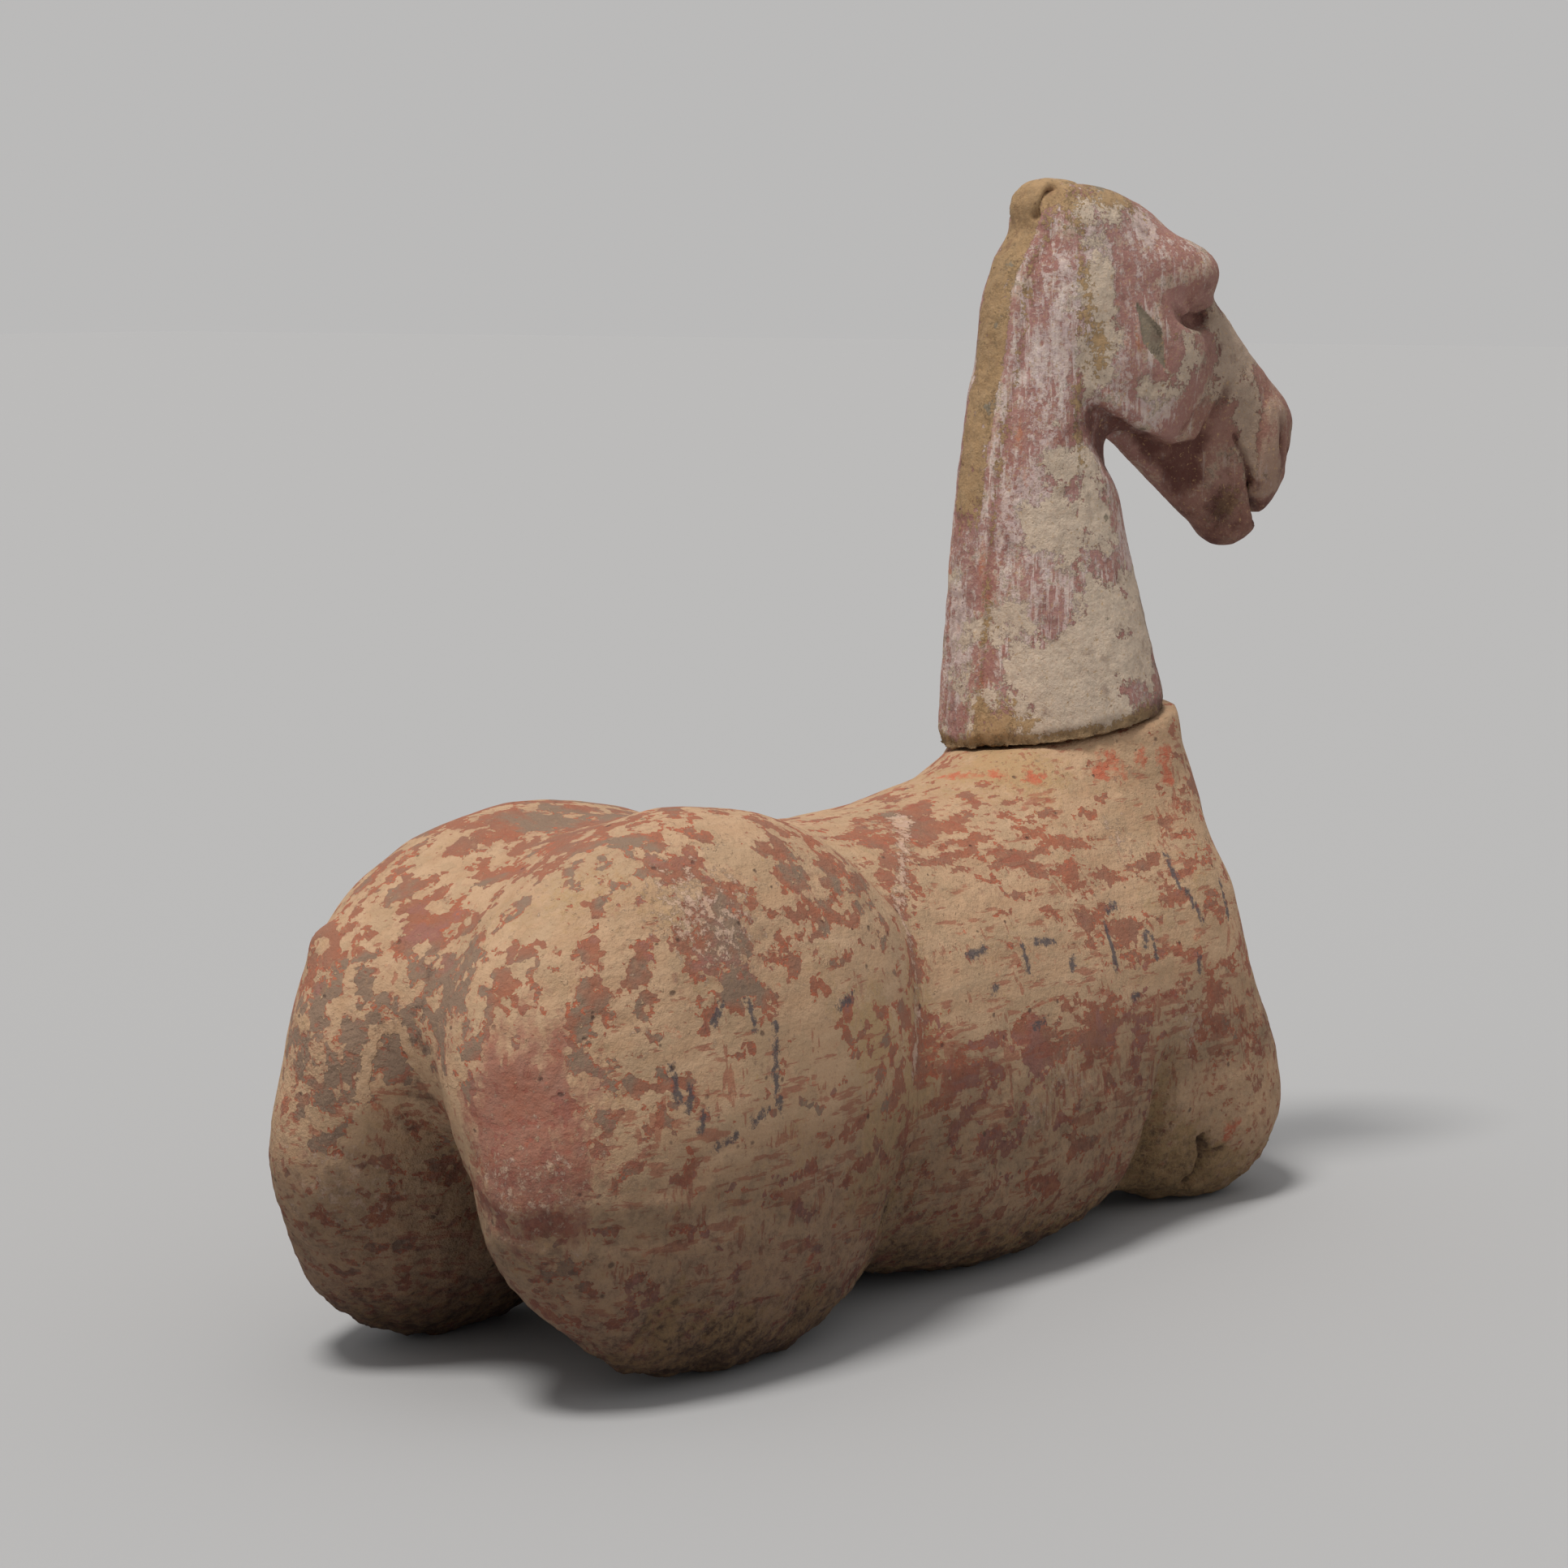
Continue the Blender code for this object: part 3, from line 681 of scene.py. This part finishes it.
def bodyMarks(points):  # every number that the clay and its finish read
    def spots(label):
        return sum(much * spot(points, onBody(place), size) for place, size, much in bodyPlaces[label])

    def line(label, width, up=0.0):
        return path(points - (0, 0, up), [onBody(place) for place in bodyPlaces[label]], width)

    def dash(along, up, run):
        middle, half = onBody((along, 0, up))[::2], np.array(run) / 2
        return stroke(points[:, ::2], middle - half, middle + half, bodyForm["ink width"])

    x, y, z = ((points - bodyLow) / (bodyHigh - bodyLow)).T
    height = points[:, 2]
    low = 1 - rise(height, 0.012, 0.060)
    ground = 1 - rise(height, 0.0, 0.06)
    top = rise(z, 0.62, 0.85)
    rear = 1 - rise(x, 0.25, 0.40)
    waistForward = rise(x, 0.30, 0.40)
    # the fore stump, kept light with pale cream as painted light
    foot = rise(x, 0.71, 0.77) * (1 - rise(z, 0.25, 0.35))
    # between the thighs, where painted shade goes
    cleft = spot(points, onBody((0.0, 0.5, 0.35)), (0.07, 0.028, 0.12))
    worn = spots("worn")

    waist = line("waist drip", 0.010)
    stained = rise(line("waist drip", 0.024), 0.0, 1.0)
    band = rise(line("brown band", 0.020), 0.0, 0.8)
    crack = np.maximum(line("stump crack", 0.0055), line("stump fork", 0.004))
    crease = rise(line("stump crease", 0.020), 0.0, 1.0) * (1 - rise(z, 0.26, 0.40))
    ledge = rise(line("thigh ledge", 0.014, 0.006), 0.0, 1.0)
    underLedge = rise(line("thigh ledge", 0.013, -0.006), 0.0, 0.8)
    arch = [onBody((0, *place))[1:] for place in bodyPlaces["cleft crown"]]
    crown = path(points[:, 1:], arch, 0.0046) * (1 - rise(x, 0.07, 0.10))
    dashes = np.max([dash(*place, run) for place, run in bodyPlaces["ink"]], axis=0)

    paint = 0.355 + 0.10 * top * rear - 0.06 * (1 - rise(z, 0.20, 0.45))
    paint += 0.75 * spots("painted") - spots("bare slip") + 0.11 * band + 0.15 * stained
    lowStrokes = 0.13 * (1 - rise(z, 0.45, 0.65))
    # painted shade: darker towards the bottom and towards the rump, with some patina
    painted_shade = 0.46 * (1 - rise(height, 0.0, 0.17)) * (1 - 0.80 * rise(x, 0.30, 0.60))
    marks = {
        "paint": paint,
        "streak": rise(x, 0.30, 0.42) * rise(z, 0.30, 0.50) * 0.9,
        "grey": 0.36 + 0.7 * spots("grey") - 0.22 * waistForward,
        "rose": spots("rose"),
        "rosy": spots("rosy"),
        "stain": 0.22 - 0.10 * foot + spots("stain") + 0.20 * low + 0.4 * crease,
        "chalk": 0.10 + 0.85 * spots("chalk") + 0.62 * waist + 0.5 * line("side drip", 0.004),
        "ink": 0.82 * dashes * (1 - rise(y, 0.20, 0.30)),
        "vermilion": spots("vermilion"),
        # the cream line over the cleft, and pale cream on the stump as painted light
        "slip line and stump light": 1.4 * crown + 0.62 * foot,
        "worn": np.clip(0.7 * low + worn + 0.4 * cleft + 0.2 * crease, 0, 1),
        "rough": (1 - rise(z, 0.25, 0.58)) * (1 - 0.7 * foot),
        "strokes": 0.06 * rise(x, 0.35, 0.45) + lowStrokes - 0.14 * top * (1 - waistForward),
        "painted_shade": painted_shade * (1 - 0.85 * foot) * (1 - 0.5 * np.clip(worn, 0, 1)),
        # darker near the floor and in the crack, painted shade in the cleft
        "soil_and_painted_shade": 0.02 + 0.55 * ground * (1 - 0.9 * foot) + 0.6 * cleft + 1.5 * crack,
        "hatch": spot(points, onBody((0.0, 0.70, 0.52)), (0.06, 0.05, 0.05)),
        "lift": (
            0.0060 * spot(points, onBody(bodyPlaces["lump"]), (0.013, 0.013, 0.015))
            - 0.0075 * rise(crack, 0.0, 0.8)
            - 0.0070 * crease
            + 0.0012 * ledge
            - 0.0020 * underLedge
            - 0.0020 * worn
        ),
    }
    marks["crumbs"] = np.clip(marks["worn"] * rise(height, 0.004, 0.012) + 0.20 * waist - 0.2, 0, 1)
    return marks


weathered = weatheringTree()
body = softCopy("horse_body", "weathered_body", bodyForm["voxel"], bodyForm["rounds"])
for label, values in bodyMarks(pointsOf(body.data)).items():
    keep(body.data, label, values)
weather(body, weathered, {**bodyForm["weathering"], "Material": slipAndPaint()})
print("body:", len(body.data.polygons), "faces")


# Places on the head are in metres from the middle of the neck's seat: forward, to the left, up.
# The right side is given, and the left has the same.
headPlaces = {
    "chalk": [  # place, size, how much
        ((-0.030, -0.030, 0.235), (0.018, 0.03, 0.035), 0.20),
        ((-0.015, -0.040, 0.275), (0.012, 0.03, 0.045), 0.26),
        ((0.006, -0.040, 0.280), (0.013, 0.03, 0.060), 0.55),
        ((-0.045, -0.040, 0.140), (0.030, 0.03, 0.040), 0.30),
        ((-0.076, 0.000, 0.065), (0.012, 0.02, 0.045), 0.35),
        ((0.050, -0.030, 0.330), (0.018, 0.03, 0.020), 0.42),
    ],
    "cream": [
        ((0.008, -0.040, 0.290), (0.015, 0.03, 0.052), 0.60),
        ((-0.004, -0.040, 0.235), (0.014, 0.03, 0.035), 0.35),
        ((-0.015, -0.045, 0.165), (0.030, 0.03, 0.040), 0.48),
        ((-0.005, -0.045, 0.105), (0.022, 0.03, 0.035), 0.25),
        ((-0.040, -0.045, 0.135), (0.024, 0.03, 0.018), 0.45),
        ((-0.030, -0.065, 0.030), (0.040, 0.04, 0.040), 0.50),
        ((0.030, -0.050, 0.060), (0.030, 0.03, 0.060), 0.35),
        ((0.045, -0.045, 0.226), (0.020, 0.02, 0.012), 0.50),
        ((0.076, -0.045, 0.245), (0.012, 0.02, 0.026), 0.36),
        ((0.130, -0.025, 0.250), (0.030, 0.03, 0.034), 0.60),
        ((0.144, -0.025, 0.208), (0.014, 0.03, 0.028), 0.55),
        ((0.146, -0.025, 0.178), (0.008, 0.02, 0.020), 0.40),
        ((0.030, -0.025, 0.345), (0.034, 0.03, 0.016), 0.50),
    ],
    "ochre": [
        ((-0.004, -0.040, 0.290), (0.010, 0.02, 0.040), 0.42),
        ((0.006, -0.040, 0.250), (0.009, 0.02, 0.026), 0.46),
        ((-0.010, -0.040, 0.205), (0.007, 0.02, 0.045), 0.42),
        ((0.045, -0.020, 0.345), (0.040, 0.03, 0.012), 0.30),
        ((-0.020, 0.000, 0.350), (0.030, 0.04, 0.030), 0.60),
        ((0.020, 0.000, 0.350), (0.035, 0.04, 0.016), 0.45),
        ((0.130, -0.020, 0.148), (0.013, 0.02, 0.022), 0.50),
        ((-0.070, -0.035, 0.006), (0.036, 0.03, 0.022), 0.55),
        ((0.020, -0.060, 0.010), (0.030, 0.02, 0.010), 0.35),
    ],
    "orange": [
        ((-0.070, -0.020, 0.100), (0.010, 0.008, 0.035), 0.60),
        ((-0.074, -0.025, 0.030), (0.010, 0.008, 0.025), 0.60),
        ((-0.048, -0.035, 0.190), (0.006, 0.030, 0.030), 0.45),
        ((0.036, -0.045, 0.252), (0.010, 0.020, 0.012), 0.55),
        ((0.020, -0.045, 0.275), (0.010, 0.020, 0.018), 0.40),
    ],
    "lilac": [
        ((0.040, -0.040, 0.095), (0.020, 0.03, 0.060), 0.35),
        ((-0.040, -0.055, 0.075), (0.030, 0.03, 0.040), 0.25),
        ((0.080, -0.030, 0.310), (0.030, 0.03, 0.025), 0.15),
        ((-0.030, -0.030, 0.250), (0.020, 0.03, 0.030), 0.20),
        ((0.050, -0.045, 0.212), (0.025, 0.02, 0.012), 0.30),
    ],
    # Along the head and up
    "scar": ((0.045, 0.258), 0.025, 0.0085, 28.0),  # middle, half length, half width, lean
    "cheek rim": [
        (0.00, 0.222), (0.02, 0.210), (0.04, 0.200), (0.06, 0.193),
        (0.08, 0.188), (0.10, 0.191), (0.12, 0.213),
    ],
    "eye shelf": [(0.065, 0.280), (0.078, 0.273), (0.100, 0.273), (0.125, 0.284)],
    "nose block": [(0.150, 0.158), (0.152, 0.180), (0.157, 0.202), (0.160, 0.215)],
    "mouth": [(0.134, 0.191), (0.141, 0.178), (0.148, 0.158), (0.156, 0.132)],
    "muzzle fold": [(0.124, 0.222), (0.113, 0.201), (0.108, 0.184)],
    # Along, across and up
    "ear socket": [(-0.013, -0.015, 0.356), (-0.023, -0.019, 0.347), (-0.029, -0.016, 0.336)],
    "eye": (0.096, -0.036, 0.300),
    "nostril": (0.173, -0.026, 0.186),
    "bump by the fold": (0.126, -0.022, 0.186),
    "chin": (0.128, -0.019, 0.140),
    "nape": (-0.057, 0, 0.248),
    "poll": (-0.036, 0, 0.331),
    "crown": (0.020, 0, 0.355),
    "chipped base": (-0.068, -0.034, 0.009),
}

headForm = {
    "voxel": 0.0019,
    "rounds": 5,
    "seat": (0.2397, 0.0002, 0.3150),
    "turn": -21.0,
    "band": 0.022,  # half width of the mane's raised band
    "weathering": {
        "Unevenness": 0.0007, "Lump Size": 0.030, "Roughness": 0.0009, "Rough Size": 0.010,
        "Erosion": 0.0022, "Pit Size": 0.010, "Crumbs": 30000.0, "Crumb Size": 0.0008, "Seed": 9,
    },
}


def headLocal(points):
    turn = math.radians(headForm["turn"])
    away = points - np.array(headForm["seat"])
    forward = away[:, 0] * math.cos(turn) + away[:, 1] * math.sin(turn)
    left = away[:, 1] * math.cos(turn) - away[:, 0] * math.sin(turn)
    return np.stack([forward, left, away[:, 2]], axis=1)


def between(values, start, full, fade, end):  # up from start to full, down from fade to end
    return rise(values, start, full) * (1 - rise(values, fade, end))


def headMarks(points):
    u, v, h = headLocal(points).T
    paired = np.stack([u, -np.abs(v), h], axis=1)
    side = rise(np.abs(v), 0.005, 0.013)

    def spots(label):
        return sum(much * spot(paired, place, size) for place, size, much in headPlaces[label])

    def near(label, size):
        return spot(paired, headPlaces[label], size)

    def line(label, width):  # drawn on the side of the head
        return side * rise(path(paired[:, ::2], headPlaces[label], width), 0.0, 1.0)

    def below(label):  # how far under a line drawn along the side of the head
        along, height = zip(*headPlaces[label])
        return np.interp(u, along, height) - h

    band = headForm["band"]
    onBand = (1 - rise(np.abs(v), band - 0.0015, band + 0.0015)) * (1 - rise(u, -0.02, -0.005))
    groove = np.exp(-((np.abs(v) - band) / 0.0025) ** 2) * (1 - rise(u, -0.03, -0.01))
    strip = between(v, -0.0175, -0.0130, 0.010, 0.018) * (1 - rise(u, -0.03, -0.015))
    base = 1 - rise(h - 0.15 * u, 0.003, 0.014)

    middle, half, wide, lean = headPlaces["scar"]
    lean = math.radians(lean)
    across, up = u - middle[0], h - middle[1]
    along = np.abs(up * math.cos(lean) - across * math.sin(lean)) / half
    aside = np.abs(across * math.cos(lean) + up * math.sin(lean)) / wide
    scar = (1 - rise(along + aside, 0.92, 1.05)) * (v < 0)

    underCheek = below("cheek rim")
    cheekWindow = between(u, -0.020, 0.020, 0.100, 0.118) * side
    recess = between(underCheek, 0.000, 0.006, 0.026, 0.050) * cheekWindow
    rim = np.exp(-((underCheek + 0.004) / 0.0045) ** 2) * cheekWindow
    shelfWindow = between(u, 0.062, 0.074, 0.106, 0.122) * side
    shelf = between(below("eye shelf"), -0.0005, 0.0025, 0.005, 0.013) * shelfWindow
    eye = near("eye", (0.022, 0.022, 0.017))
    fronts, heights = zip(*headPlaces["nose block"])
    ahead = u - np.interp(h, heights, fronts)
    block = between(ahead, -0.001, 0.0015, 0.012, 0.030) * between(h, 0.145, 0.158, 0.205, 0.220)
    nostril = near("nostril", (0.0060, 0.013, 0.014))
    mouth = line("mouth", 0.0040)
    lips = line("mouth", 0.013)
    fold = line("muzzle fold", 0.009)
    socket = rise(path(paired, headPlaces["ear socket"], 0.0055), 0.0, 1.0)
    chin = near("chin", 0.012)

    # painted shade: darker towards the face, under the jaw and in the recess under the cheek, lighter at the
    # back of the neck
    painted_shade = 0.10 + 0.40 * rise(u, 0.04, 0.13) * (1 - 0.4 * rise(h, 0.27, 0.31)) + 0.25 * recess
    painted_shade += 0.12 * rise(u, 0.04, 0.10) * (1 - rise(h, 0.17, 0.23)) - 0.10 * (1 - rise(u, 0.00, 0.04))
    # painted deep shade: in the recess under the cheek, under the eye shelf, in the nostril, mouth, fold and
    # ear socket, and under the jaw
    painted_deep_shade = 0.75 * recess + 0.65 * shelf + 0.9 * nostril + 0.9 * mouth + 0.45 * fold + 0.6 * socket
    painted_deep_shade += 0.42 * rise(u, 0.03, 0.06) * (1 - rise(h, 0.135, 0.190))
    marks = {
        # less chalk and lilac over the face: partly its mauve paint, partly painted shade
        "chalk": 0.37 + spots("chalk") - 0.5 * scar - 0.2 * block - 0.16 * rise(u, 0.04, 0.08),
        # cream and tan thin out in the recess under the cheek, where the painted shade lies
        "cream": 0.24 + spots("cream") + 0.22 * (1 - rise(h, 0.05, 0.15)) - 0.5 * recess - 0.4 * block,
        "ochre": 0.15 + spots("ochre") + 0.58 * strip * rise(h, 0.11, 0.16) + 0.50 * base + 0.30 * groove,
        "orange": spots("orange"),
        "lilac": 0.37 + spots("lilac") - 0.08 * rise(u, 0.04, 0.08),
        "tan": 0.40 + 0.10 * (1 - rise(h, 0.05, 0.15)) - 0.3 * recess + 0.25 * block,
        "painted_shade": painted_shade,
        "grey green": 1.6 * scar + 0.45 * near("crown", (0.03, 0.03, 0.012)),
        "painted_deep_shade": painted_deep_shade,
        "pitted": np.clip(0.3 + strip, 0, 1),
        "rough": np.clip(0.35 + spots("cream") + strip, 0, 1),
        "worn": np.clip(0.9 * base + 0.25 * strip + 0.8 * chin + 0.25 * spots("cream"), 0, 1),
        "lift": (
            0.0006 * onBand
            - 0.0013 * groove
            - 0.0016 * scar
            - 0.0060 * recess
            + 0.0016 * rim
            + 0.0030 * eye
            + 0.0034 * near("nape", (0.03, 0.03, 0.034))
            - 0.0026 * near("poll", (0.02, 0.03, 0.013))
            - 0.0048 * shelf
            + 0.0042 * block
            - 0.0055 * nostril
            - 0.0055 * mouth * (1 - 0.6 * rise(h, 0.150, 0.190))
            + 0.0015 * lips
            - 0.0030 * fold
            + 0.0022 * near("bump by the fold", 0.009)
            - 0.0070 * socket
            - 0.0020 * base * near("chipped base", 0.03)
        ),
    }
    marks["crumbs"] = np.clip(marks["worn"] - 0.35, 0, 1) + 0.10 * np.clip(marks["cream"] - 0.4, 0, 1)
    return marks


head = softCopy("head_and_neck", "weathered_head", headForm["voxel"], headForm["rounds"])
for label, values in headMarks(pointsOf(head.data)).items():
    keep(head.data, label, values)
weather(head, weathered, {**headForm["weathering"], "Material": chalkAndMauve()})
print("head:", len(head.data.polygons), "faces")

for piece, node, slot in ((body, "horse_body", "body_clay"), (head, "head_and_neck", "head_clay")):
    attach(piece, "root")
    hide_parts(node)


studio = {
    "floor": (0.407, 0.411, 0.418),
    "floor size": 60.0,
    "floor gap": 0.0002,      # kept under the horse
    "floor roughness": 0.9,
    "sky": (0.495, 0.490, 0.486),
    "sun": 2.35,
    "sun colour": (1.0, 0.97, 0.93),
    "sun spread": 15.0,       # degrees across, for soft shadows
    "sun from": (-0.48, 0.04, 1.30),
    "camera from": (-2.0651, -1.4539, 0.6140),
    "heading": 54.0,          # degrees from +Y towards +X
    "pitch": -7.1,
    "lens": 94.1,
    "film width": 36.0,
}


def plainFloor():
    bpy.ops.mesh.primitive_plane_add(size=studio["floor size"], location=(0, 0, -studio["floor gap"]))
    floor = bpy.context.object
    floor.name = "floor"
    made = bpy.data.materials.new("pale floor")
    made.use_nodes = True
    shader = made.node_tree.nodes["Principled BSDF"]
    shader.inputs["Base Color"].default_value = (*studio["floor"], 1)
    shader.inputs["Roughness"].default_value = studio["floor roughness"]
    floor.data.materials.append(made)


plainFloor()
sun = bpy.data.lights.new("sun", "SUN")
sun.energy = studio["sun"]
sun.angle = math.radians(studio["sun spread"])
sun.color = studio["sun colour"]
lamp = bpy.data.objects.new("sun", sun)
sceneObjects.link(lamp)
lamp.rotation_euler = Vector(studio["sun from"]).to_track_quat("Z", "Y").to_euler()
world = bpy.context.scene.world or bpy.data.worlds.new("studio")
bpy.context.scene.world = world
world.use_nodes = True
world.node_tree.nodes["Background"].inputs["Color"].default_value = (*studio["sky"], 1)

camera = bpy.data.objects.new("camera", bpy.data.cameras.new("camera"))
sceneObjects.link(camera)
camera.data.sensor_width = studio["film width"]
camera.data.lens = studio["lens"]
camera.location = studio["camera from"]
camera.rotation_euler = (math.radians(90 + studio["pitch"]), 0, -math.radians(studio["heading"]))
bpy.context.scene.camera = camera
bpy.context.scene.view_settings.view_transform = "Standard"
print("studio set")
